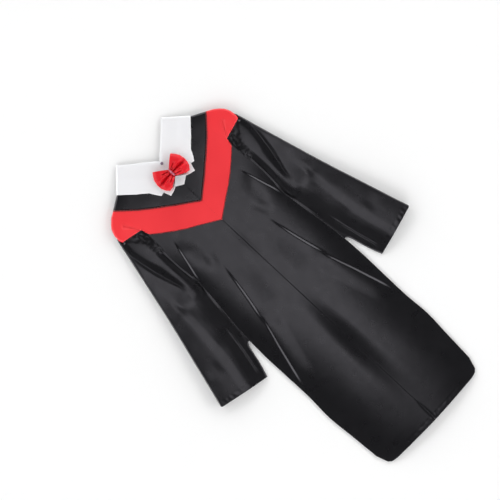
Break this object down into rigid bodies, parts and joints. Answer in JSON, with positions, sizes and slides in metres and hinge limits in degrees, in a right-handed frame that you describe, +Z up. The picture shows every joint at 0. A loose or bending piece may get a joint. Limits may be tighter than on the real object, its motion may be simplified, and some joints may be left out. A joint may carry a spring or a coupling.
{
  "type": "child's graduation gown, laid flat",
  "caption": "Child's graduation gown in black satin laid flat, with long angled sleeves, a red and black V yoke, a white collar and a red bow",
  "frame": {"origin": "middle of the flat underside of the gown's bounding box, on the surface it lies on", "axes": "+Y from the hem to the neck, +X towards the wearer's left sleeve, +Z up out of the surface, so the gown's front faces up"},
  "size_m": [0.5244, 0.7734, 0.0244],
  "materials": {
    "black_satin": "satin weave with a soft sheen",
    "red_satin": "satin weave with a soft sheen",
    "white_poplin": "matt plain weave",
    "pale_thread": "wound thread",
    "mauve_plastic": "satin moulded"
  },
  "bodies": {
    "root": {"back": "black_satin", "front_left": "black_satin", "front_right": "black_satin", "sleeve_left": "black_satin", "sleeve_right": "black_satin", "sleeve_under_left": "black_satin", "sleeve_under_right": "black_satin", "black_band_left": "black_satin", "black_band_right": "black_satin", "red_band_left": "red_satin", "red_band_right": "red_satin", "red_bow_left": "red_satin", "red_bow_right": "red_satin", "collar_back": "white_poplin", "collar_left": "white_poplin", "collar_right": "white_poplin", "collar_tab": "white_poplin", "white_bow_left": "white_poplin", "white_bow_right": "white_poplin", "bow_knot": "pale_thread", "neck_snap": "mauve_plastic"}
  },
  "joints": []
}
